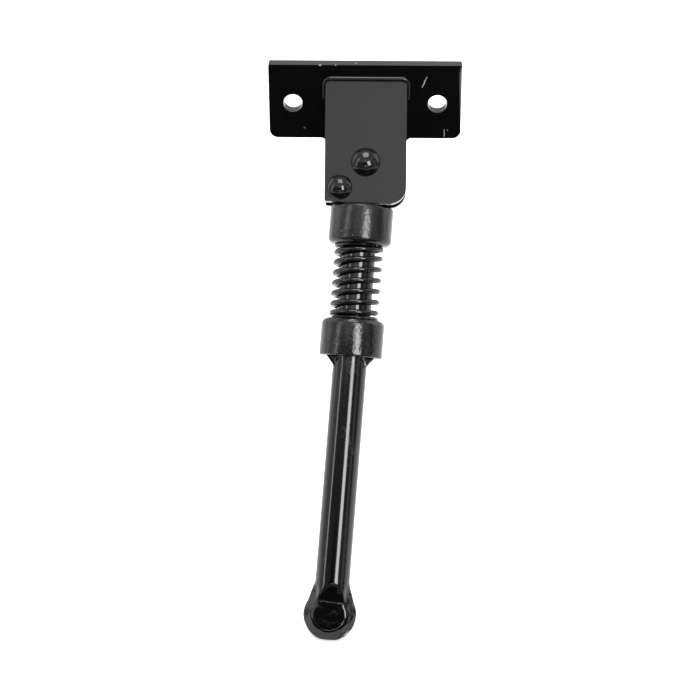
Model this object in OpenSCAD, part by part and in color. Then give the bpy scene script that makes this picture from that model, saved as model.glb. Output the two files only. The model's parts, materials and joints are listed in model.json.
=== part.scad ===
// Electric scooter kickstand: a bent T plate with a welded front ear, a riveted swing leg,
// and a spring-loaded collar that rides on the lower edges of the two ears.
// Row frame in mm: +X to the right, -Y to the front, +Z up. The origin is the middle of the
// two bolt holes on the plate's back face.

/* [Plate] */
// Width of the bar that is bolted on
bar_w = 66.6; // [62:0.2:74]
// Height of the bar above the bolt holes
bar_above = 14.3; // [12:0.1:17]
// Drop from the bolt holes to the bar's lower edge
bar_below = 13.1; // [11.5:0.1:16]
// Thickness of the plate and of both ears
sheet_t = 4; // [3:0.1:4.5]
// Distance between the two bolt holes
hole_spacing = 50; // [46:0.2:54]
// Diameter of the bolt holes
hole_d = 6.6; // [5.5:0.1:9]
// Radius of the bar's lower corners
bar_corner = 3; // [1:0.1:5]
// Radius of the bar's upper corners
bar_top_corner = 0.6; // [0.3:0.1:3]
// Radius in the two inner corners of the T
tee_fillet = 2.2; // [0.8:0.1:2.5]
// Radius on the outside of the bend
bend_outer = 5; // [4.6:0.1:6.5]

/* [Ears] */
// Angle between the bar and the ears
splay = 35; // [30:0.5:40]
// Gap between the two ears
ear_gap = 8; // [7:0.1:9]
// Reach of the ears to the left of the pivot
ear_left = 14; // [13.4:0.1:16]
// Distance from the pivot to the edges that the collar rests on
cam_reach = 14; // [13.7:0.1:16]
// Radius of the corner that the collar rides over
cam_corner = 5.7; // [4.6:0.1:6.4]
// Slope of the edges that the collar rests on
cam_slope = 2; // [0:0.5:4]
// Radius of the lower left corner
heel_corner = 0.8; // [0.4:0.1:2]
// Radius of the front ear's upper corners
crown_corner = 1.7; // [0.6:0.1:2.5]
// Drop from the bend to the pivot, along the ears
pivot_drop = 12.7; // [12.4:0.1:15]
// Sideways place of the pivot from the middle of the bar
pivot_x = 0.4; // [-2:0.1:2]
// Radius of the weld bead
bead_r = 0.9; // [0.5:0.1:1.5]

/* [Rivets] */
// Shank diameter of the pivot rivet
pivot_d = 6; // [5:0.1:6.6]
// Head diameter of the pivot rivet
pivot_head_d = 10; // [9:0.1:12]
// Head height of the pivot rivet
pivot_head_h = 2.5; // [1.8:0.1:3.5]
// Shank diameter of the stop rivet
stop_d = 4.4; // [3.8:0.1:4.6]
// Head diameter of the stop rivet
stop_head_d = 8.7; // [7.5:0.1:8.8]
// Head height of the stop rivet
stop_head_h = 2.3; // [1.6:0.1:3]
// Drop of the stop rivet below the pivot, along the leg
stop_drop = 9.3; // [8.5:0.1:9.5]

/* [Leg] */
// Diameter of the leg's bar
rod_d = 11.8; // [11:0.1:12.6]
// Length from the pivot to the sole
leg_len = 164; // [150:0.5:200]
// Lean of the leg to the left when it is down
lean = 4; // [2:0.5:8]
// Width of the milled eye
eye_w = 11.3; // [10.8:0.1:11.3]
// Width of the foot
foot_w = 18.2; // [17:0.1:22]
// Thickness of the foot
foot_t = 7.2; // [6:0.1:8.5]
// Width of the foot's flat sole
sole_w = 5.2; // [4:0.1:6]
// Length of the flare, from the bar to the foot's widest place
neck_len = 10.8; // [9.5:0.1:14]
// Length of the forged taper from the round bar to the flat foot
taper_len = 6.4; // [5:0.1:9]
// Width over the two pressed lugs
lug_span = 16.6; // [15:0.1:18]
// Length of the pressed lugs along the leg
lug_len = 3.4; // [2.5:0.1:5]
// Thickness of the pressed lugs
lug_t = 6.4; // [5:0.1:8]
// Inner edge of the pressed facets from the leg's axis
lug_inner = 3.4; // [2.5:0.1:4]

/* [Collars] */
// Diameter of both collars
collar_d = 21.8; // [20:0.1:22]
// Length of the upper collar
upper_len = 13.5; // [12:0.1:16]
// Length of the lower collar
lower_len = 13; // [11:0.1:16]
// Radius of the collars' shoulders
shoulder_r = 2; // [1:0.1:2.2]
// Chamfer on the upper collar's rim, under the ears
cam_chamfer = 1.2; // [0.4:0.1:1.6]
// Chamfer on the lower collar's rim, over the lugs
rim_chamfer = 0.6; // [0.3:0.1:1.6]

/* [Spring] */
// Diameter of the spring's wire
wire_d = 2; // [1.6:0.1:2.2]
// Outer diameter of the spring
spring_od = 17.4; // [16.8:0.1:18.4]
// Fitted length of the spring
spring_len = 25.8; // [24:0.2:32]
// Number of turns
spring_turns = 8.3; // [7:0.1:8.6]
// Thickness that grinding leaves at the tips of the wire
tip_t = 0.6; // [0.4:0.1:1.2]
// Lean of the turns at the spring's upper end
tilt_top = 0.45; // [0:0.05:0.5]
// Lean of the turns at the spring's lower end
tilt_end = -0.3; // [-0.4:0.05:0]

/* [Hidden] */
$fn = 64;
far = 200;
rivet_fit = 0.05;
pivot_fit = 0.08;
slide_fit = 0.08;
cheek_fit = 0.2;
stop_fit = 0.3;
sweep_fit = 0.3;
seat_fit = 0.1;
bead_out = 0.3;
corner_over = 0.5;
corner_sink = 0.1;
neck_relief = 0.02;
closed_pitch = 2.1;
closed_turns = 1;
ramp_turns = 0.5;
start_angle = 310;
rings_per_turn = 32;
wire_sides = 12;
housing = 2 * sheet_t + ear_gap;
leg_mid = housing / 2;
rod_r = rod_d / 2;
collar_r = collar_d / 2;
eye_t = ear_gap - 2 * cheek_fit;
// ends of the ears' lower edges in X and Z from the pivot, and the way from the right one to the left one
cam_way = [-cos(cam_slope), sin(cam_slope)];
heel = [-ear_left, -(cam_reach - ear_left * sin(cam_slope)) / cos(cam_slope)];
toe = [cam_reach, -(cam_reach + cam_reach * sin(cam_slope)) / cos(cam_slope)];
cam_peak = norm(corner_mid(toe, [0, 1], cam_way, cam_corner)) + cam_corner;
// clear of the cam corner while the leg swings
cam_sweep = cam_peak + sweep_fit;
flat_len = cam_sweep + sweep_fit;
upper_top = cam_reach + collar_r * sin(max(0, lean - cam_slope)) + seat_fit;
spring_top = upper_top + upper_len;
lower_top = spring_top + spring_len;
lug_top = lower_top + lower_len;
foot_r = foot_w / 2;
foot_rim = foot_t / 2;
foot_mid = leg_len - sqrt(foot_r * foot_r - sole_w * sole_w / 4);
neck_top = foot_mid - neck_len;
taper_end = neck_top + taper_len;
stop_off = eye_w / 2 + stop_fit + stop_d / 2;
// height along the ears where the front ear's face meets the bar's face
crown = (housing * cos(splay) - sheet_t) / sin(splay);
crown_z = housing * sin(splay) + crown * cos(splay) - bar_below;
crown_back = ((housing - sheet_t) * cos(splay) - sheet_t) / sin(splay);
bead_low_z = (housing - sheet_t) * sin(splay) + crown_back * cos(splay) - bar_below;

// frames
module ear_frame() {
    translate([0, 0, -bar_below]) rotate([-splay, 0, 0]) children();
}

module pivot_frame() {
    ear_frame() translate([pivot_x, -leg_mid, -pivot_drop]) children();
}

module leg_frame() {
    pivot_frame() rotate([0, lean, 0]) children();
}

// flat shape in X and Z, given thickness from front to back
module slab(front, back) {
    translate([0, back, 0]) rotate([90, 0, 0]) linear_extrude(back - front) children();
}

// half the angle of a corner, and the middle of the arc that rounds it
function half_angle(dir_a, dir_b) = acos(dir_a * dir_b) / 2;
function corner_mid(vertex, dir_a, dir_b, r) =
    vertex + (dir_a + dir_b) / norm(dir_a + dir_b) * r / sin(half_angle(dir_a, dir_b));

// what a rounded corner takes off, from its arc to a little beyond the vertex
module corner_waste(vertex, dir_a, dir_b, r) {
    reach = r / tan(half_angle(dir_a, dir_b));
    mid = corner_mid(vertex, dir_a, dir_b, r);
    over_a = dir_a * corner_over;
    over_b = dir_b * corner_over;
    difference() {
        polygon([vertex - over_a - over_b, vertex + dir_a * reach - over_b, vertex + dir_a * reach, mid,
                 vertex + dir_b * reach, vertex + dir_b * reach - over_a]);
        translate(mid) circle(r);
    }
}

// outline of the ears in X and Z, seen from the pivot
module ear_outline(top) {
    difference() {
        polygon([heel, toe, [cam_reach, top], [-ear_left, top]]);
        corner_waste(toe, [0, 1], cam_way, cam_corner);
        corner_waste(heel, [0, 1], -cam_way, heel_corner);
    }
}

module ear_at(front, back, top) {
    ear_frame() translate([pivot_x, 0, -pivot_drop]) slab(front, back) ear_outline(top);
}

module stop_place() {
    leg_frame() translate([-stop_off, 0, -stop_drop]) children();
}

// cylinder from front to back, through all that it meets
module drill(r) {
    rotate([90, 0, 0]) cylinder(h = far, r = r, center = true);
}

module rivet_holes() {
    pivot_frame() drill(pivot_d / 2 + rivet_fit);
    stop_place() drill(stop_d / 2 + rivet_fit);
}

module bar_outline() {
    difference() {
        translate([-bar_w / 2, -bar_below]) square([bar_w, bar_above + bar_below]);
        corner_waste([bar_w / 2, -bar_below], [-1, 0], [0, 1], bar_corner);
        corner_waste([-bar_w / 2, -bar_below], [1, 0], [0, 1], bar_corner);
        corner_waste([bar_w / 2, bar_above], [-1, 0], [0, -1], bar_top_corner);
        corner_waste([-bar_w / 2, bar_above], [1, 0], [0, -1], bar_top_corner);
    }
}

// the two rounded inner corners of the T, below the bar
module tee_corners() {
    z = corner_sink - bar_below;
    slab(-sheet_t, 0) {
        corner_waste([pivot_x + cam_reach - corner_sink, z], [1, 0], [0, -1], tee_fillet);
        corner_waste([pivot_x - ear_left + corner_sink, z], [-1, 0], [0, -1], tee_fillet);
    }
}

module mounting_plate() {
    down = [-sin(splay), -cos(splay)];
    color("#16171a") difference() {
        union() {
            slab(-sheet_t, 0) bar_outline();
            ear_at(-sheet_t, 0, pivot_drop);
            intersection() {
                tee_corners();
                ear_frame() translate([-far / 2, -sheet_t, -far]) cube([far, sheet_t, far]);
            }
        }
        // outside of the bend
        rotate([90, 0, 90]) linear_extrude(far, center = true)
            corner_waste([0, -bar_below], [0, 1], down, bend_outer);
        for (side = [-1, 1])
            translate([side * hole_spacing / 2, 0, 0]) drill(hole_d / 2);
        rivet_holes();
    }
}

module front_ear_solid() {
    difference() {
        ear_frame() translate([pivot_x, 0, -pivot_drop]) slab(-housing, sheet_t - housing) difference() {
            ear_outline(pivot_drop + crown);
            corner_waste([cam_reach, pivot_drop + crown], [-1, 0], [0, -1], crown_corner);
            corner_waste([-ear_left, pivot_drop + crown], [1, 0], [0, -1], crown_corner);
        }
        translate([-far / 2, -sheet_t, -far / 2]) cube([far, far, far]);
    }
}

module front_ear() {
    color("#1b1c1f") difference() {
        front_ear_solid();
        rivet_holes();
    }
}

// bead that runs up one side of the front ear, round both corners and down the other side
module weld_bead() {
    $fn = 24;
    left = pivot_x - ear_left - bead_out;
    right = pivot_x + cam_reach + bead_out;
    top = crown_z + bead_out;
    turn = crown_corner + bead_out;
    color("#222327") difference() {
        translate([0, -sheet_t - bead_out / 2, 0]) {
            translate([left + turn, 0, top]) rotate([0, 90, 0]) cylinder(h = right - left - 2 * turn, r = bead_r);
            for (x = [left, right])
                translate([x, 0, bead_low_z]) cylinder(h = top - turn - bead_low_z, r = bead_r);
            for (way = [0, 1])
                translate([way == 0 ? right - turn : left + turn, 0, top - turn])
                    rotate([90, 0, 0]) rotate([0, 0, 90 * way]) rotate_extrude(angle = 90)
                        translate([turn, 0]) circle(bead_r);
        }
        translate([-far / 2, -sheet_t, -far / 2]) cube([far, far, far]);
        front_ear_solid();
    }
}

// round head that stands on the plane y = 0 and bulges to the front
module rivet_head(d, h) {
    ball = (d * d / 4 + h * h) / (2 * h);
    intersection() {
        translate([0, ball - h, 0]) sphere(ball);
        translate([-d, -2 * h, -d]) cube([2 * d, 2 * h, 2 * d]);
    }
}

module rivet(shank_d, head_d, head_h) {
    rotate([90, 0, 0]) cylinder(h = housing, d = shank_d, center = true);
    translate([0, -leg_mid, 0]) rivet_head(head_d, head_h);
    translate([0, leg_mid, 0]) rotate([0, 0, 180]) rivet_head(head_d, head_h);
}

module pivot_rivet() {
    color("#1a1a1c") pivot_frame() rivet(pivot_d, pivot_head_d, pivot_head_h);
}

module stop_rivet() {
    color("#1a1a1c") stop_place() rivet(stop_d, stop_head_d, stop_head_h);
}

// disc that lies in X and Z and has a fully rounded rim
module rim_disc(r) {
    rotate([90, 0, 0]) rotate_extrude() {
        translate([0, -foot_rim]) square([r - foot_rim, foot_t]);
        intersection() {
            translate([r - foot_rim, 0]) circle(foot_rim);
            translate([0, -foot_rim]) square([r, foot_t]);
        }
    }
}

// one flared side of the neck, rounded like the foot's rim
module neck_side() {
    start = [rod_r - foot_rim, -neck_top];
    stop = [foot_r - foot_rim, -foot_mid];
    run = stop - start;
    translate([start[0], 0, start[1]]) rotate([0, 180 - atan2(run[0], -run[1]), 0])
        cylinder(h = norm(run), r = foot_rim - neck_relief);
}

module foot() {
    difference() {
        union() {
            translate([0, 0, -foot_mid]) rim_disc(foot_r);
            for (side = [0, 1])
                mirror([side, 0, 0]) neck_side();
            slab(-foot_rim, foot_rim)
                polygon([[foot_rim - rod_r, -neck_top], [rod_r - foot_rim, -neck_top],
                         [foot_r - foot_rim, -foot_mid], [foot_rim - foot_r, -foot_mid]]);
        }
        translate([-far / 2, -far / 2, -leg_len - far]) cube(far);
    }
}

module lug_outline() {
    polygon([[lug_inner, -lug_top], [lug_span / 2, -lug_top], [lug_inner + lug_t / 3, -lug_top - lug_len]]);
}

module leg_bar() {
    difference() {
        translate([0, 0, -taper_end]) cylinder(h = taper_end, r = rod_r);
        // milled eye
        for (side = [0, 1]) {
            mirror([side, 0, 0]) translate([eye_w / 2, -far / 2, -cam_reach]) cube([far, far, far]);
            mirror([0, side, 0]) translate([-far / 2, eye_t / 2, -flat_len]) cube([far, far, far]);
            // forged taper from the round bar to the flat foot
            mirror([0, side, 0]) rotate([90, 0, 90]) linear_extrude(far, center = true)
                polygon([[rod_r, -neck_top], [rod_d, -neck_top], [rod_d, -leg_len], [foot_rim, -leg_len],
                         [foot_rim, -taper_end]]);
        }
    }
    rotate([90, 0, 0]) cylinder(h = eye_t, d = eye_w, center = true);
}

module leg() {
    color("#141517") leg_frame() {
        difference() {
            leg_bar();
            drill(pivot_d / 2 + pivot_fit);
            for (side = [0, 1], face = [0, 1])
                mirror([side, 0, 0]) mirror([0, face, 0]) slab(-rod_r, -lug_t / 2) lug_outline();
        }
        foot();
        for (side = [0, 1])
            mirror([side, 0, 0]) slab(-lug_t / 2, lug_t / 2) lug_outline();
    }
}

// what a chamfer takes off a square corner, from its slope to a little beyond the vertex
module corner_cut(vertex, dir_a, dir_b, size) {
    over_a = dir_a * corner_over;
    over_b = dir_b * corner_over;
    polygon([vertex - over_a - over_b, vertex + dir_a * size - over_b, vertex + dir_a * size,
             vertex + dir_b * size, vertex + dir_b * size - over_a]);
}

// half section of a collar: bored, one end rounded, the other chamfered
module collar_section(len, rounded_up, chamfer) {
    round_z = rounded_up ? len : 0;
    round_way = rounded_up ? -1 : 1;
    plain_z = rounded_up ? 0 : len;
    difference() {
        translate([rod_r + slide_fit, 0]) square([collar_r - rod_r - slide_fit, len]);
        corner_waste([collar_r, round_z], [-1, 0], [0, round_way], shoulder_r);
        corner_cut([collar_r, plain_z], [-1, 0], [0, -round_way], chamfer);
    }
}

module upper_collar() {
    color("#191a1d") leg_frame() difference() {
        translate([0, 0, -spring_top]) rotate_extrude() collar_section(upper_len, false, cam_chamfer);
        // room for the ears' rounded corners as the leg swings past them
        for (side = [-1, 1])
            translate([0, side * (ear_gap + sheet_t) / 2, 0]) rotate([90, 0, 0])
                cylinder(h = sheet_t + 2 * sweep_fit, r = cam_sweep, center = true, $fn = 128);
    }
}

module lower_collar() {
    color("#191a1d") leg_frame() translate([0, 0, -lug_top]) rotate_extrude()
        collar_section(lower_len, true, rim_chamfer);
}

// how far down the wire's middle lies after t turns
function ramp(t) = t <= 0 ? 0 : t >= ramp_turns ? t - ramp_turns / 2 : t * t / (2 * ramp_turns);
function open_turns(t) = ramp(t - closed_turns) - ramp(t - (spring_turns - closed_turns - ramp_turns));
function wire_drop(t) = closed_pitch * t + open_turns(t) * open_gain;
function ends_off(t) = min(1, t / closed_turns, (spring_turns - t) / closed_turns);
function wire_tilt(t) = (tilt_top + (tilt_end - tilt_top) * t / spring_turns) * ends_off(t);
tip_drop = tip_t - wire_d / 2;
open_gain = (spring_len - 2 * tip_drop - closed_pitch * spring_turns) / open_turns(spring_turns);
// the tips are ground flat, against the collars
function ground(z) = min(-spring_top, max(-lower_top, z));

module spring() {
    mid_r = (spring_od - wire_d) / 2;
    rings = round(spring_turns * rings_per_turn);
    points = [for (i = [0:rings]) let (t = spring_turns * i / rings, a = start_angle - 360 * t)
        for (k = [0:wire_sides - 1]) let (b = 360 * k / wire_sides)
            [(mid_r + cos(b) * wire_d / 2) * cos(a), (mid_r + cos(b) * wire_d / 2) * sin(a),
             ground(-spring_top - tip_drop - wire_drop(t) + wire_tilt(t) * cos(a) + sin(b) * wire_d / 2)]];
    walls = [for (i = [0:rings - 1], k = [0:wire_sides - 1])
        let (n = (k + 1) % wire_sides, p = i * wire_sides, q = p + wire_sides)
            each [[p + k, q + k, q + n], [p + k, q + n, p + n]]];
    first = [for (k = [0:wire_sides - 1]) k];
    last = [for (k = [wire_sides - 1:-1:0]) rings * wire_sides + k];
    color("#121315") leg_frame() polyhedron(points, concat(walls, [first, last]), convexity = 8);
}

mounting_plate();
front_ear();
weld_bead();
pivot_rivet();
stop_rivet();
leg();
upper_collar();
spring();
lower_collar();
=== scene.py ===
"""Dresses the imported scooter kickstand: its pieces, their gloss black paint, the stage and the camera."""

import json
import math

import bpy
from bpy.props import FloatProperty, FloatVectorProperty, PointerProperty
from mathutils import Matrix, Vector

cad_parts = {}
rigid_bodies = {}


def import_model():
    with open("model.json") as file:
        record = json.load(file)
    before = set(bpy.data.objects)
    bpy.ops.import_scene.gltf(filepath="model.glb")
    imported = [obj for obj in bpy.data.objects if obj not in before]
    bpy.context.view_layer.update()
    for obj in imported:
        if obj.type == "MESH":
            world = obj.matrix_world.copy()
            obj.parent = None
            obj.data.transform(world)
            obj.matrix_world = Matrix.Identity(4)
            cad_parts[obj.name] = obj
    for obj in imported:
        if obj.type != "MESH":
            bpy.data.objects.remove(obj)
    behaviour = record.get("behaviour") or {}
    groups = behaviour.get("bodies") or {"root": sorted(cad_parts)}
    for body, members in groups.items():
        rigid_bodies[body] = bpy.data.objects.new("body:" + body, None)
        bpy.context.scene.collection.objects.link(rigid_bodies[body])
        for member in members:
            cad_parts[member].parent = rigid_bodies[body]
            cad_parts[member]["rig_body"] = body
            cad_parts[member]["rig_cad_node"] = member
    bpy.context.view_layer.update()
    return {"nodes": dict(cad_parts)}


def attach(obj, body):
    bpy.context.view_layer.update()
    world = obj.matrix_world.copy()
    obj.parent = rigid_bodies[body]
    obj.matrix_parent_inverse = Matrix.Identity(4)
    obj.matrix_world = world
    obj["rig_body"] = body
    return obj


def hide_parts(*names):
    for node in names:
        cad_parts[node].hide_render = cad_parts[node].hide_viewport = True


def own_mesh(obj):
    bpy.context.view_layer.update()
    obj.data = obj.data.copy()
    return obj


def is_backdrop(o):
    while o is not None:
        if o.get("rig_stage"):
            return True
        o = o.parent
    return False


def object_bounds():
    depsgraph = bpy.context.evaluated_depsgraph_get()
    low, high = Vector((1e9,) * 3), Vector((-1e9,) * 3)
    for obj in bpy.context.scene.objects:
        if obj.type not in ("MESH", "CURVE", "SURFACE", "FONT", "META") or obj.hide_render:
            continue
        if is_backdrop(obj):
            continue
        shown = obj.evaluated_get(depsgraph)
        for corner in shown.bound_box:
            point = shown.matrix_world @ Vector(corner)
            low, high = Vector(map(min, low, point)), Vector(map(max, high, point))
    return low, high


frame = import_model()

bl_info = {
    "name": "Scooter kickstand",
    "version": (1, 0, 0),
    "blender": (4, 5, 0),
    "location": "View3D > Sidebar > Kickstand",
    "description": "Builds a painted scooter kickstand over its packed frame, with its stage and camera",
    "category": "Object",
}

MM = 0.001
SPLAY = math.radians(35)
LEAN = math.radians(4)
PIVOT = Vector((0.4, -13.8376, -18.9146)) * MM
FORWARD = Vector((0, -math.cos(SPLAY), math.sin(SPLAY)))
ACROSS = Vector((math.cos(LEAN), -math.sin(LEAN) * math.sin(SPLAY), -math.sin(LEAN) * math.cos(SPLAY)))
DOWN = Vector((-math.sin(LEAN), -math.cos(LEAN) * math.sin(SPLAY), -math.cos(LEAN) * math.cos(SPLAY)))

# Places along the leg and sizes on it, in millimetres from the pivot
UPPER_TOP, UPPER_LENGTH, UPPER_RIM = 14.48, 13.5, 1.2
LOWER_TOP, LOWER_LENGTH, LOWER_RIM = 53.78, 13.0, 0.6
COLLAR_RADIUS, COLLAR_BORE = 10.9, 5.98
BAR_RADIUS, BAR_START, BAR_END = 5.9, 20, 143.5
LUGS = (65.5, 67.5, 72)
LUG_REACH = 2.8
FOOT_START, FOOT_HALF = 145, 3.6
LAND = 0.35

# Marks on the paint: start and run as Object coordinates, and width, in millimetres
PLATE_MARKS = (
    ((21.2, -4, 10.0), (-1.6, 0, -3.8), 0.16),
    ((20.3, -4, 8.9), (0.1, 0, -1.5), 0.1),
    ((27.6, -4, -9.7), (0.05, 0, -2.6), 0.14),
    ((28.7, -4, -9.8), (0.1, 0, -0.3), 0.12),
    ((-15.6, -3.9, 14.2), (0.3, 0, 0), 0.35),
    ((-3.2, -2.2, 14.3), (0.2, 0, 0), 0.3),
    ((-10.2, -3.9, 14.2), (0.2, 0, 0), 0.2),
)
CHIP = ((-4.2, -106.9, -150.4), (-0.6, -0.1, -0.8), 1.0)

# Lamps: name, azimuth, elevation, distance, size, power
LAMPS = (
    ("Key_softbox", 27, 31, 1.1, (0.34, 0.56), 7.5),
    ("Side_strip", -62, 26, 1.1, (0.10, 1.0), 1.8),
    ("Top_light", 10, 84, 1.2, (0.6, 0.6), 7),
    ("Back_top_light", 172, 52, 1.1, (0.2, 0.2), 9),
)
# Cards: name, azimuth, elevation, distance, width, height, strength
CARDS = (
    ("Front_curtain", 0, 14, 1.5, 4.4, 1.5, 0.26),
    ("Dark_panel", -6, 23, 1.3, 0.6, 0.34, 0.02),
    ("Ear_card", 0, 46, 1.5, 1.2, 0.4, 1.35),
    ("Low_strip", 1, 11, 1.2, 0.36, 0.07, 5.0),
    ("Left_card", -112, 20, 1.6, 1.2, 1.6, 1.6),
    ("Right_card", 114, 20, 1.6, 1.2, 1.6, 1.8),
    ("Right_curtain", 79, 16, 1.5, 0.4, 1.5, 0.25),
)


class StandSizes(bpy.types.PropertyGroup):
    """Sizes that the dressed pieces are finished with."""

    sheet_edge: FloatProperty(
        name="Sheet edge", description="Radius on the arrises of the plate and the ears",
        default=0.0005, unit="LENGTH",
    )
    forge_cell: FloatProperty(
        name="Forging cell", description="Mesh size of the forged leg", default=0.00032, unit="LENGTH"
    )
    shoulder: FloatProperty(
        name="Collar shoulder", description="Radius on the spring's end of both collars",
        default=0.002, unit="LENGTH",
    )


class StandFinish(bpy.types.PropertyGroup):
    """Colours of the paint and of its marks."""

    black: FloatVectorProperty(
        name="Paint", description="Colour of the gloss black paint", subtype="COLOR",
        default=(0.0026, 0.0026, 0.0029),
    )
    dust: FloatVectorProperty(
        name="Dust", description="Colour of the dust and the chips", subtype="COLOR",
        default=(0.30, 0.29, 0.27),
    )


def sizes():
    return bpy.context.scene.stand_sizes


def finish():
    return bpy.context.scene.stand_finish


def on_leg(along, across=0.0, out=0.0):
    """Point on the leg, in millimetres from the pivot."""
    return PIVOT + (DOWN * along + ACROSS * across + FORWARD * out) * MM


def leg_place(point):
    """How far a point is along, across and out from the leg, in millimetres from the pivot."""
    return [(point - PIVOT).dot(way) / MM for way in (DOWN, ACROSS, FORWARD)]


def leg_turn():
    """Turns Z to the leg's upward direction and Y to the back."""
    return Matrix((ACROSS, -FORWARD, -DOWN)).transposed().to_euler()


def pick_only(*things):
    if bpy.context.object and bpy.context.object.mode != "OBJECT":
        bpy.ops.object.mode_set(mode="OBJECT")
    bpy.ops.object.select_all(action="DESELECT")
    for thing in things:
        thing.select_set(True)
        bpy.context.view_layer.objects.active = thing


def apply_modifier(piece, kind, **values):
    pick_only(piece)
    modifier = piece.modifiers.new(kind.title(), kind)
    for key, value in values.items():
        setattr(modifier, key, value)
    bpy.ops.object.modifier_apply(modifier=modifier.name)


def bevel_edges(piece, chosen, radius, segments):
    """Rounds the edges whose two ends are both chosen. The radius is in millimetres."""
    pick_only(piece)
    bpy.ops.object.mode_set(mode="EDIT")
    bpy.ops.mesh.select_mode(type="EDGE")
    bpy.ops.mesh.select_all(action="DESELECT")
    bpy.ops.object.mode_set(mode="OBJECT")
    for edge in piece.data.edges:
        edge.select = all(chosen(piece.data.vertices[v].co) for v in edge.vertices)
    bpy.ops.object.mode_set(mode="EDIT")
    bpy.ops.mesh.bevel(offset=radius * MM, segments=segments, profile=0.5)
    bpy.ops.object.mode_set(mode="OBJECT")


def weight_group(piece, name, weigh):
    """Names a vertex group and gives each vertex the weight that its place asks for."""
    group = piece.vertex_groups.new(name=name)
    for vertex in piece.data.vertices:
        weight = weigh(vertex.co)
        if weight > 0:
            group.add([vertex.index], weight, "REPLACE")


def settle(piece):
    """Puts the place, turn and scale of a piece into its mesh."""
    pick_only(piece)
    bpy.ops.object.transform_apply(location=True, rotation=True, scale=True)


def smooth(piece, degrees=30):
    pick_only(piece)
    bpy.ops.object.shade_smooth_by_angle(angle=math.radians(degrees))


def cad_copy(node, name):
    """A merged copy of a CAD node, for edges and surfaces that the node can't have."""
    pick_only(frame["nodes"][node])
    bpy.ops.object.duplicate()
    piece = bpy.context.object
    piece.parent = None
    piece.name = name
    piece.data.name = name
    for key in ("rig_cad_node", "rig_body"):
        if key in piece:
            del piece[key]
    piece.data.materials.clear()
    pick_only(piece)
    bpy.ops.object.mode_set(mode="EDIT")
    bpy.ops.mesh.select_all(action="SELECT")
    bpy.ops.mesh.remove_doubles(threshold=0.000002)
    bpy.ops.mesh.dissolve_limited(angle_limit=math.radians(0.5))
    bpy.ops.object.mode_set(mode="OBJECT")
    return piece


def hand_over(piece, node, body, material):
    """The piece takes the CAD node's place."""
    piece.data.materials.clear()
    piece.data.materials.append(material)
    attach(piece, body)
    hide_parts(node)


# paint


def add_node(tree, kind, **values):
    node = tree.nodes.new(kind)
    for key, value in values.items():
        setattr(node, key, value)
    return node


def math_node(tree, operation, first, second=None, clamp=False):
    node = add_node(tree, "ShaderNodeMath", operation=operation, use_clamp=clamp)
    for socket, value in zip(node.inputs, (first, second)):
        if isinstance(value, (int, float)):
            socket.default_value = value
        elif value is not None:
            tree.links.new(value, socket)
    return node.outputs[0]


def span_node(tree, value, low, high, to_low=0.0, to_high=1.0):
    node = add_node(tree, "ShaderNodeMapRange")
    tree.links.new(value, node.inputs["Value"])
    for name, number in (("From Min", low), ("From Max", high), ("To Min", to_low), ("To Max", to_high)):
        if isinstance(number, (int, float)):
            node.inputs[name].default_value = number
        else:
            tree.links.new(number, node.inputs[name])
    return node.outputs["Result"]


def noise_node(tree, place, scale, detail=2.0, roughness=0.5):
    node = add_node(tree, "ShaderNodeTexNoise")
    tree.links.new(place, node.inputs["Vector"])
    if isinstance(scale, (int, float)):
        node.inputs["Scale"].default_value = scale
    else:
        tree.links.new(scale, node.inputs["Scale"])
    node.inputs["Detail"].default_value = detail
    node.inputs["Roughness"].default_value = roughness
    return node.outputs["Fac"]


def new_group(name, inputs, outputs):
    tree = bpy.data.node_groups.new(name, "ShaderNodeTree")
    for label, kind, default in inputs:
        socket = tree.interface.new_socket(label, in_out="INPUT", socket_type=kind)
        if default is not None:
            socket.default_value = default
    for label, kind in outputs:
        tree.interface.new_socket(label, in_out="OUTPUT", socket_type=kind)
    return tree, tree.nodes.new("NodeGroupInput"), tree.nodes.new("NodeGroupOutput")


def paint_skin_group():
    """Orange peel of sprayed paint, with slow waves under it."""
    tree, given, out = new_group(
        "Paint skin",
        [("Place", "NodeSocketVector", None), ("Peel scale", "NodeSocketFloat", 420.0),
         ("Wave", "NodeSocketFloat", 0.5)],
        [("Height", "NodeSocketFloat")],
    )
    peel = noise_node(tree, given.outputs["Place"], given.outputs["Peel scale"], 1.0)
    wave = noise_node(tree, given.outputs["Place"], 90.0, 1.0)
    total = math_node(tree, "ADD", peel, math_node(tree, "MULTIPLY", wave, given.outputs["Wave"]))
    tree.links.new(total, out.inputs["Height"])
    return tree


def specks_group():
    """Small dust nibs and chips, scattered in patches."""
    tree, given, out = new_group(
        "Specks",
        [("Place", "NodeSocketVector", None), ("Scale", "NodeSocketFloat", 500.0),
         ("Size", "NodeSocketFloat", 0.2), ("Share", "NodeSocketFloat", 0.1)],
        [("Mask", "NodeSocketFloat")],
    )
    cells = add_node(tree, "ShaderNodeTexVoronoi")
    tree.links.new(given.outputs["Place"], cells.inputs["Vector"])
    tree.links.new(given.outputs["Scale"], cells.inputs["Scale"])
    parts = add_node(tree, "ShaderNodeSeparateColor")
    tree.links.new(cells.outputs["Color"], parts.inputs[0])
    chosen = math_node(tree, "LESS_THAN", parts.outputs[0], given.outputs["Share"])
    radius = math_node(tree, "MULTIPLY", parts.outputs[1], given.outputs["Size"])
    near = math_node(tree, "LESS_THAN", cells.outputs["Distance"], radius)
    tree.links.new(math_node(tree, "MULTIPLY", chosen, near), out.inputs["Mask"])
    return tree


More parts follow.
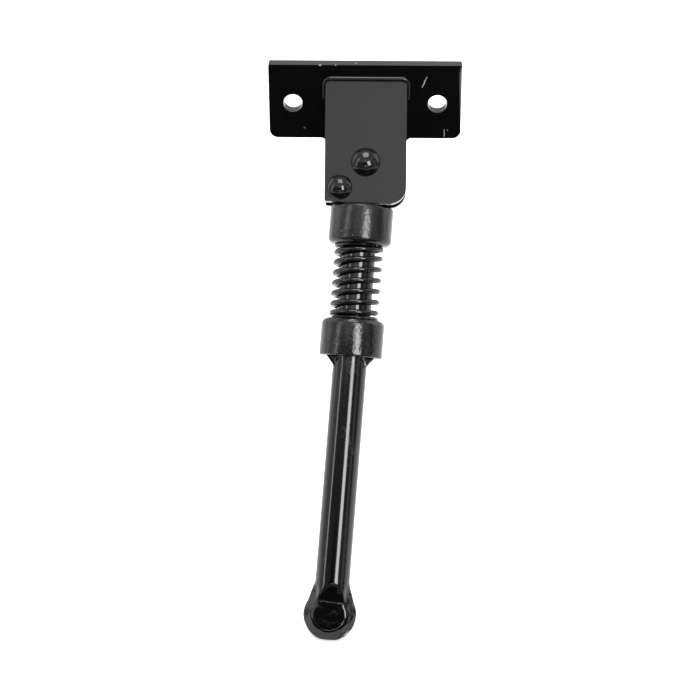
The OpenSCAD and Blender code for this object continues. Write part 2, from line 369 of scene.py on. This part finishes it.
def scratches_group():
    """Fine rubs that run along one direction of the piece."""
    tree, given, out = new_group(
        "Scratches",
        [("Place", "NodeSocketVector", None), ("Scale", "NodeSocketFloat", 60.0),
         ("Share", "NodeSocketFloat", 0.7)],
        [("Mask", "NodeSocketFloat")],
    )
    lines = noise_node(tree, given.outputs["Place"], given.outputs["Scale"], 4.0, 0.7)
    narrow = math_node(tree, "ABSOLUTE", math_node(tree, "SUBTRACT", lines, 0.5))
    thin = span_node(tree, narrow, 0.0, 0.012, 1.0, 0.0)
    shift = add_node(tree, "ShaderNodeVectorMath", operation="ADD")
    tree.links.new(given.outputs["Place"], shift.inputs[0])
    shift.inputs[1].default_value = (3.1, 1.7, 5.3)
    broken = noise_node(tree, shift.outputs[0], 55.0, 1.0)
    tree.links.new(
        math_node(tree, "MULTIPLY", thin, math_node(tree, "GREATER_THAN", broken, given.outputs["Share"])),
        out.inputs["Mask"],
    )
    return tree


def stroke_group():
    """One short mark on the paint, from one point to another, along Object coordinates in millimetres."""
    tree, given, out = new_group(
        "Stroke",
        [("Place", "NodeSocketVector", None), ("Start", "NodeSocketVector", None),
         ("Run", "NodeSocketVector", None), ("Width", "NodeSocketFloat", 0.2)],
        [("Mask", "NodeSocketFloat")],
    )
    metres = add_node(tree, "ShaderNodeVectorMath", operation="SCALE")
    tree.links.new(given.outputs["Place"], metres.inputs[0])
    metres.inputs["Scale"].default_value = 1000
    away = add_node(tree, "ShaderNodeVectorMath", operation="SUBTRACT")
    tree.links.new(metres.outputs[0], away.inputs[0])
    tree.links.new(given.outputs["Start"], away.inputs[1])
    along = add_node(tree, "ShaderNodeVectorMath", operation="DOT_PRODUCT")
    tree.links.new(away.outputs[0], along.inputs[0])
    tree.links.new(given.outputs["Run"], along.inputs[1])
    square = add_node(tree, "ShaderNodeVectorMath", operation="DOT_PRODUCT")
    tree.links.new(given.outputs["Run"], square.inputs[0])
    tree.links.new(given.outputs["Run"], square.inputs[1])
    share = math_node(tree, "DIVIDE", along.outputs["Value"], square.outputs["Value"], clamp=True)
    foot = add_node(tree, "ShaderNodeVectorMath", operation="SCALE")
    tree.links.new(given.outputs["Run"], foot.inputs[0])
    tree.links.new(share, foot.inputs["Scale"])
    gap = add_node(tree, "ShaderNodeVectorMath", operation="DISTANCE")
    tree.links.new(away.outputs[0], gap.inputs[0])
    tree.links.new(foot.outputs[0], gap.inputs[1])
    rough = noise_node(tree, given.outputs["Place"], 2600.0, 2.0)
    reach = math_node(tree, "MULTIPLY", given.outputs["Width"], math_node(tree, "ADD", rough, 0.25))
    tree.links.new(math_node(tree, "LESS_THAN", gap.outputs["Value"], reach), out.inputs["Mask"])
    return tree


def group_node(tree, group, place, **values):
    node = add_node(tree, "ShaderNodeGroup", node_tree=group)
    tree.links.new(place, node.inputs["Place"])
    for key, value in values.items():
        node.inputs[key.replace("_", " ")].default_value = value
    return node.outputs[0]


def black_paint(
    name, rough=0.13, peel=420.0, bump=0.00002, wave=0.5, specks=0.06, speck_scale=520.0, speck_size=0.16,
    grain=(1, 1, 1), scratch=0.70, smudge=0.05, shading_tint=1.0, strokes=(),
):
    """Gloss black sprayed paint with its own peel, rubs, nibs and single marks; its colour is scaled per
    piece, as painted shade where darkened and painted light where lightened.
    """
    groups = {g.name: g for g in bpy.data.node_groups}
    material = bpy.data.materials.new(name)
    material.use_nodes = True
    tree = material.node_tree
    tree.nodes.clear()
    shader = add_node(tree, "ShaderNodeBsdfPrincipled")
    out = add_node(tree, "ShaderNodeOutputMaterial")
    tree.links.new(shader.outputs[0], out.inputs[0])
    place = add_node(tree, "ShaderNodeTexCoord").outputs["Object"]
    stretch = add_node(tree, "ShaderNodeMapping")
    stretch.inputs["Scale"].default_value = grain
    stretch.inputs["Rotation"].default_value = leg_turn()
    tree.links.new(place, stretch.inputs["Vector"])

    skin = group_node(tree, groups["Paint skin"], place, Peel_scale=peel, Wave=wave)
    nibs = group_node(tree, groups["Specks"], place, Scale=speck_scale, Size=speck_size, Share=specks)
    rubs = group_node(tree, groups["Scratches"], stretch.outputs[0], Scale=70.0, Share=scratch)
    smear = noise_node(tree, place, 38.0, 4.0, 0.6)

    mixed = add_node(tree, "ShaderNodeMix", data_type="RGBA")
    # the black is scaled per piece: painted shade where the factor is below 1, painted light where it is
    # above 1
    black = [c * shading_tint for c in finish().black]
    mixed.inputs["A"].default_value = (*black, 1)
    mixed.inputs["B"].default_value = (*finish().dust, 1)
    pale_nibs = math_node(tree, "MULTIPLY", nibs, 0.35)
    marks = math_node(tree, "MAXIMUM", pale_nibs, math_node(tree, "MULTIPLY", rubs, 0.05))
    for start, run, width in strokes:
        mark = group_node(tree, groups["Stroke"], place, Start=start, Run=run, Width=width)
        marks = math_node(tree, "MAXIMUM", marks, mark)
    tree.links.new(marks, mixed.inputs["Factor"])
    tree.links.new(mixed.outputs["Result"], shader.inputs["Base Color"])

    patchy = span_node(tree, smear, 0.42, 0.68, rough, rough + smudge)
    dulled = math_node(tree, "MULTIPLY", marks, 1.6)
    tree.links.new(math_node(tree, "ADD", patchy, dulled, clamp=True), shader.inputs["Roughness"])
    shader.inputs["IOR"].default_value = 1.5

    height = math_node(tree, "ADD", skin, math_node(tree, "MULTIPLY", nibs, 1.2))
    height = math_node(tree, "SUBTRACT", height, math_node(tree, "MULTIPLY", rubs, 0.4))
    raised = add_node(tree, "ShaderNodeBump")
    raised.inputs["Strength"].default_value = 1.0
    raised.inputs["Distance"].default_value = bump
    tree.links.new(height, raised.inputs["Height"])
    tree.links.new(raised.outputs[0], shader.inputs["Normal"])
    return material


# pieces


def sheet_piece(node, name, material, edge, shape=None):
    """A piece of the bent sheet, with its arrises rounded. Shape is done first."""
    piece = cad_copy(node, name)
    if shape:
        shape(piece)
    apply_modifier(
        piece, "BEVEL", width=edge, segments=4, limit_method="ANGLE", angle_limit=math.radians(40)
    )
    smooth(piece, 35)
    apply_modifier(piece, "WEIGHTED_NORMAL", keep_sharp=True)
    hand_over(piece, node, "bracket", material)


class STAND_OT_plate(bpy.types.Operator):
    """Mounting plate with its bent back ear"""

    bl_idname = "stand.plate"
    bl_label = "Mounting plate"

    def execute(self, context):
        # plate paint darkened to half: painted shade for its darker face
        paint = black_paint(
            "Plate_paint", rough=0.14, peel=380.0, specks=0.02, scratch=0.76, grain=(1, 1, 0.2), shading_tint=0.5,
            strokes=PLATE_MARKS,
        )
        edge = sizes().sheet_edge
        sheet_piece("mounting_plate", "Bent_mounting_plate", paint, edge, self.shear)
        return {"FINISHED"}

    def shear(self, plate):
        """Cuts the bar's face beside the bend, and rolls over its right end as the shear left it."""
        end, front, slack, roll = 33.3 * MM, -4 * MM, 0.02 * MM, 1.6
        pick_only(plate)
        bpy.ops.object.mode_set(mode="EDIT")
        for height in (-11.2, 11.0):
            bpy.ops.mesh.select_all(action="SELECT")
            bpy.ops.mesh.bisect(plane_co=(0, 0, height * MM), plane_no=(0, 0, 1))
        bevel_edges(plate, lambda co: abs(co.x - end) < slack and abs(co.y - front) < slack, roll, 6)


class STAND_OT_front_ear(bpy.types.Operator):
    """Front ear, mitred on to the plate"""

    bl_idname = "stand.front_ear"
    bl_label = "Front ear"

    def execute(self, context):
        # ear paint lightened by a fifth: painted light for its brighter face
        paint = black_paint("Ear_paint", rough=0.20, peel=330.0, specks=0.03, scratch=0.66, shading_tint=1.2)
        sheet_piece("front_ear", "Welded_front_ear", paint, sizes().sheet_edge * 2)
        return {"FINISHED"}


class STAND_OT_weld(bpy.types.Operator):
    """Weld bead round the head of the front ear"""

    bl_idname = "stand.weld"
    bl_label = "Weld bead"

    def execute(self, context):
        bead = cad_copy("weld_bead", "Painted_weld_bead")
        apply_modifier(bead, "REMESH", mode="VOXEL", voxel_size=0.00022)
        apply_modifier(bead, "SMOOTH", factor=0.5, iterations=3)
        smooth(bead, 60)
        paint = black_paint("Bead_paint", rough=0.22, peel=700.0, bump=0.00006, wave=1.6, specks=0.05)
        hand_over(bead, "weld_bead", "bracket", paint)
        return {"FINISHED"}


class STAND_OT_rivets(bpy.types.Operator):
    """Pivot rivet and stop rivet"""

    bl_idname = "stand.rivets"
    bl_label = "Rivets"

    def execute(self, context):
        paint = black_paint(
            "Rivet_paint", rough=0.1, peel=900.0, bump=0.00006, wave=1.2, specks=0.12, speck_scale=900.0
        )
        for node, name in (("pivot_rivet", "Domed_pivot_rivet"), ("stop_rivet", "Domed_stop_rivet")):
            rivet = cad_copy(node, name)
            apply_modifier(
                rivet, "BEVEL", width=0.0004, segments=3, limit_method="ANGLE", angle_limit=math.radians(38)
            )
            smooth(rivet, 45)
            hand_over(rivet, node, "bracket", paint)
        return {"FINISHED"}


class STAND_OT_leg(bpy.types.Operator):
    """Forged leg with its eye, lugs and flat foot"""

    bl_idname = "stand.leg"
    bl_label = "Forged leg"

    def execute(self, context):
        leg = cad_copy("leg", "Forged_leg")
        apply_modifier(leg, "REMESH", mode="VOXEL", voxel_size=sizes().forge_cell)
        self.draft_foot(leg)
        self.soften(leg)
        self.true_bar(leg)
        smooth(leg, 60)
        # leg paint darkened to half: painted shade for its darker foot face and bar
        paint = black_paint(
            "Leg_paint", rough=0.09, peel=300.0, bump=0.000018, specks=0.08, speck_scale=620.0,
            grain=(1, 1, 0.12), scratch=0.6, shading_tint=0.5, strokes=(CHIP,),
        )
        hand_over(leg, "leg", "swing_leg", paint)
        return {"FINISHED"}

    def draft_foot(self, leg):
        """Turns the foot's round rim into a flat draft, and cuts the chip off its corner."""
        for vertex in leg.data.vertices:
            along, _, out = leg_place(vertex.co)
            if along < FOOT_START or abs(out) >= FOOT_HALF or abs(out) < 0.05:
                continue
            inward = FOOT_HALF - math.sqrt(FOOT_HALF * FOOT_HALF - out * out)
            draft = LAND + (FOOT_HALF - LAND) * min(inward / 3.3, 1)
            share = min((along - FOOT_START) / 3, 1)
            vertex.co += FORWARD * (math.copysign(draft, out) - out) * share * MM
        pick_only(leg)
        bpy.ops.object.mode_set(mode="EDIT")
        bpy.ops.mesh.select_all(action="SELECT")
        corner = on_leg(161.0, 5.3, 1.7)
        facing = (DOWN * 0.62 + ACROSS * 0.5 + FORWARD * 0.6).normalized()
        bpy.ops.mesh.bisect(plane_co=corner, plane_no=facing, clear_outer=True, use_fill=True)
        bpy.ops.object.mode_set(mode="OBJECT")

    def soften(self, leg):
        """Rounds the forged edges, more at the foot than at the eye."""
        apply_modifier(leg, "SMOOTH", factor=0.5, iterations=4)
        weight_group(leg, "foot", lambda co: min(max((leg_place(co)[0] - 142) / 4, 0), 1))
        apply_modifier(leg, "SMOOTH", factor=0.5, iterations=16, vertex_group="foot")
        lumps = bpy.data.textures.new("Forging_lumps", "CLOUDS")
        lumps.noise_scale = 0.0034
        lumps.noise_depth = 2
        apply_modifier(
            leg, "DISPLACE", texture=lumps, texture_coords="LOCAL", strength=0.00026, mid_level=0.5,
            vertex_group="foot",
        )

    def true_bar(self, leg):
        """Brings the round stretches back to a true cylinder."""
        bpy.ops.object.select_all(action="DESELECT")
        bpy.ops.mesh.primitive_cylinder_add(
            vertices=256, radius=BAR_RADIUS * MM, depth=200 * MM, location=on_leg(84), rotation=leg_turn()
        )
        bar = bpy.context.object
        weight_group(leg, "bar", self.bar_weight)
        apply_modifier(
            leg, "SHRINKWRAP", target=bar, vertex_group="bar", wrap_method="NEAREST_SURFACEPOINT"
        )
        bpy.data.objects.remove(bar)

    def bar_weight(self, co):
        """Full weight on the round bar, less at the lugs and none on their sides."""
        along, across, _ = leg_place(co)
        weight = min(max((BAR_END - along) / 3, 0), 1) * min(max(along - BAR_START, 0), 1)
        start, middle, end = LUGS
        if start < along < end:
            weight *= min(abs(along - middle) / 5, 1) if along > middle else 0.3
            if abs(across) > LUG_REACH:
                weight = 0
        return weight


def collar(name, top, length, upper_round, lower_round):
    """Turned collar on the leg: sizes in millimetres from the pivot."""
    bpy.ops.object.select_all(action="DESELECT")
    middle = on_leg(top + length / 2)
    bpy.ops.mesh.primitive_cylinder_add(
        vertices=128, radius=COLLAR_RADIUS * MM, depth=length * MM, location=middle, rotation=leg_turn()
    )
    piece = bpy.context.object
    piece.name = name
    piece.data.name = name
    settle(piece)
    for end, rounding in ((top, upper_round), (top + length, lower_round)):
        bevel_edges(piece, lambda co: abs(leg_place(co)[0] - end) < 0.01, rounding, 8)
    bpy.ops.object.select_all(action="DESELECT")
    bpy.ops.mesh.primitive_cylinder_add(
        vertices=96, radius=COLLAR_BORE * MM, depth=length * 2 * MM, location=middle, rotation=leg_turn()
    )
    drill = bpy.context.object
    apply_modifier(piece, "BOOLEAN", operation="DIFFERENCE", object=drill, solver="EXACT")
    bpy.data.objects.remove(drill)
    smooth(piece, 40)
    return piece


class STAND_OT_collars(bpy.types.Operator):
    """Upper collar, which rides on the ears, and lower collar, which the lugs hold"""

    bl_idname = "stand.collars"
    bl_label = "Collars"

    def execute(self, context):
        shoulder = sizes().shoulder / MM
        paint = black_paint(
            "Collar_paint", rough=0.17, peel=1000.0, bump=0.00009, wave=2.2, specks=0.1, smudge=0.12,
            grain=(1, 1, 0.3),
        )
        upper = collar("Upper_collar", UPPER_TOP, UPPER_LENGTH, UPPER_RIM, shoulder)
        hand_over(upper, "upper_collar", "cam_collar", paint)
        lower = collar("Lower_collar", LOWER_TOP, LOWER_LENGTH, shoulder, LOWER_RIM)
        hand_over(lower, "lower_collar", "swing_leg", paint)
        return {"FINISHED"}


class STAND_OT_spring(bpy.types.Operator):
    """Compression spring round the leg"""

    bl_idname = "stand.spring"
    bl_label = "Spring"

    def execute(self, context):
        coil = cad_copy("spring", "Coil_spring")
        apply_modifier(coil, "SUBSURF", levels=1, render_levels=1)
        smooth(coil, 60)
        paint = black_paint("Spring_paint", rough=0.11, peel=700.0, bump=0.00003, specks=0.06)
        hand_over(coil, "spring", "swing_leg", paint)
        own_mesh(coil)
        return {"FINISHED"}


# stage


def way_to(azimuth, elevation):
    """Direction from the leg, in degrees: 0 is the front and positive is the right."""
    a, e = math.radians(azimuth), math.radians(elevation)
    return Vector((math.sin(a) * math.cos(e), -math.cos(a) * math.cos(e), math.sin(e)))


def softbox(name, azimuth, elevation, distance, size, power):
    """A rectangular light that looks at the leg's middle."""
    way = way_to(azimuth, elevation)
    lamp = bpy.data.lights.new(name, "AREA")
    lamp.shape = "RECTANGLE"
    lamp.size, lamp.size_y = size
    lamp.energy = power
    holder = bpy.data.objects.new(name, lamp)
    bpy.context.scene.collection.objects.link(holder)
    holder.location = on_leg(70) + way * distance
    holder.rotation_euler = way.to_track_quat("Z", "Y").to_euler()


def glow_material(name, strength):
    material = bpy.data.materials.new(name)
    material.use_nodes = True
    tree = material.node_tree
    tree.nodes.clear()
    glow = add_node(tree, "ShaderNodeEmission")
    glow.inputs["Color"].default_value = (1, 1, 1, 1)
    glow.inputs["Strength"].default_value = strength
    out = add_node(tree, "ShaderNodeOutputMaterial")
    tree.links.new(glow.outputs[0], out.inputs[0])
    return material


def studio_card(name, azimuth, elevation, distance, width, height, strength):
    """A card that faces the leg's middle."""
    way = way_to(azimuth, elevation)
    turn = way.to_track_quat("Z", "Y").to_euler()
    lay_card(name, on_leg(70) + way * distance, turn, width, height, strength)


def lay_card(name, centre, turn, width, height, strength):
    """A grey or white card that only reflections see."""
    bpy.ops.object.select_all(action="DESELECT")
    bpy.ops.mesh.primitive_plane_add(size=1, location=centre, rotation=turn)
    card = bpy.context.object
    card.name = name
    card.scale = (width, height, 1)
    card.visible_camera = False
    card.visible_diffuse = False
    card.visible_shadow = False
    card.visible_transmission = False
    card.data.materials.append(glow_material(name, strength))
    card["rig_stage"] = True


class STAND_OT_stage(bpy.types.Operator):
    """Pale floor, soft light, white surroundings and the camera"""

    bl_idname = "stand.stage"
    bl_label = "Stage"

    def execute(self, context):
        self.floor()
        self.surroundings()
        self.lights()
        self.camera()
        context.scene.view_settings.view_transform = "Standard"
        return {"FINISHED"}

    def floor(self):
        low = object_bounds()[0]
        bpy.ops.object.select_all(action="DESELECT")
        bpy.ops.mesh.primitive_plane_add(size=6, location=(0, 0, low[2] - 0.0005))
        floor = bpy.context.object
        floor.name = "Floor"
        material = bpy.data.materials.new("Pale_floor")
        material.use_nodes = True
        tree = material.node_tree
        tree.nodes.clear()
        shader = add_node(tree, "ShaderNodeBsdfDiffuse")
        shader.inputs["Color"].default_value = (0.9, 0.9, 0.9, 1)
        lift = add_node(tree, "ShaderNodeEmission")
        seen = add_node(tree, "ShaderNodeLightPath").outputs["Is Camera Ray"]
        tree.links.new(math_node(tree, "MULTIPLY", seen, 0.4), lift.inputs["Strength"])
        both = add_node(tree, "ShaderNodeAddShader")
        tree.links.new(shader.outputs[0], both.inputs[0])
        tree.links.new(lift.outputs[0], both.inputs[1])
        tree.links.new(both.outputs[0], add_node(tree, "ShaderNodeOutputMaterial").inputs[0])
        floor.data.materials.append(material)
        floor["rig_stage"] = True

    def surroundings(self):
        world = bpy.data.worlds.new("White_room")
        bpy.context.scene.world = world
        world.use_nodes = True
        tree = world.node_tree
        tree.nodes.clear()
        path = add_node(tree, "ShaderNodeLightPath")
        seen = math_node(tree, "MAXIMUM", path.outputs["Is Camera Ray"], path.outputs["Is Glossy Ray"])
        seen = math_node(tree, "MAXIMUM", seen, path.outputs["Is Transmission Ray"])
        white = add_node(tree, "ShaderNodeBackground")
        bright = math_node(tree, "ADD", math_node(tree, "MULTIPLY", path.outputs["Is Camera Ray"], 0.3), 1.0)
        tree.links.new(bright, white.inputs["Strength"])
        fill = add_node(tree, "ShaderNodeBackground")
        fill.inputs["Strength"].default_value = 0.6
        both = add_node(tree, "ShaderNodeMixShader")
        out = add_node(tree, "ShaderNodeOutputWorld")
        tree.links.new(seen, both.inputs[0])
        tree.links.new(fill.outputs[0], both.inputs[1])
        tree.links.new(white.outputs[0], both.inputs[2])
        tree.links.new(both.outputs[0], out.inputs[0])

    def lights(self):
        for lamp in LAMPS:
            softbox(*lamp)
        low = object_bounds()[0][2]
        lay_card("Dark_floor", (0.02, -0.40, low + 0.002), (0, 0, 0), 0.9, 0.576, 0.02)
        for card in CARDS:
            studio_card(*card)

    def camera(self):
        turn, rise, roll = (math.radians(angle) for angle in (1.15, 31.92, -0.09))
        focal, picture, sensor = 1899, 700, 36
        distance, aside, below = 660.7, -5.31, -87.41
        back = Vector((math.sin(turn) * math.cos(rise), -math.cos(turn) * math.cos(rise), math.sin(rise)))
        right = Vector((math.cos(turn), math.sin(turn), 0))
        up = right.cross(-back)
        right, up = (
            right * math.cos(roll) + up * math.sin(roll),
            up * math.cos(roll) - right * math.sin(roll),
        )
        lens = bpy.data.cameras.new("Photo_camera")
        lens.sensor_width = sensor
        lens.lens = focal * sensor / picture
        lens.clip_start = 0.01
        holder = bpy.data.objects.new("Photo_camera", lens)
        bpy.context.scene.collection.objects.link(holder)
        place = Matrix((right, up, back)).transposed().to_4x4()
        place.translation = (back * distance + right * aside + up * below) * MM
        holder.matrix_world = place
        bpy.context.scene.camera = holder


class STAND_PT_panel(bpy.types.Panel):
    """Steps that build the kickstand"""

    bl_label = "Kickstand"
    bl_space_type = "VIEW_3D"
    bl_region_type = "UI"
    bl_category = "Kickstand"

    def draw(self, context):
        for group in (context.scene.stand_sizes, context.scene.stand_finish):
            for name in group.bl_rna.properties.keys():
                if name not in ("rna_type", "name"):
                    self.layout.prop(group, name)
        for step in STEPS:
            self.layout.operator(step.bl_idname)


STEPS = (
    STAND_OT_plate, STAND_OT_front_ear, STAND_OT_weld, STAND_OT_rivets, STAND_OT_leg, STAND_OT_collars,
    STAND_OT_spring, STAND_OT_stage,
)
CLASSES = (StandSizes, StandFinish, *STEPS, STAND_PT_panel)


def register():
    for item in CLASSES:
        bpy.utils.register_class(item)
    bpy.types.Scene.stand_sizes = PointerProperty(type=StandSizes)
    bpy.types.Scene.stand_finish = PointerProperty(type=StandFinish)


def unregister():
    del bpy.types.Scene.stand_finish
    del bpy.types.Scene.stand_sizes
    for item in reversed(CLASSES):
        bpy.utils.unregister_class(item)


def main():
    register()
    for build in (paint_skin_group, specks_group, scratches_group, stroke_group):
        build()
    for step in STEPS:
        area, name = step.bl_idname.split(".")
        getattr(getattr(bpy.ops, area), name)()


if __name__ == "__main__":
    main()
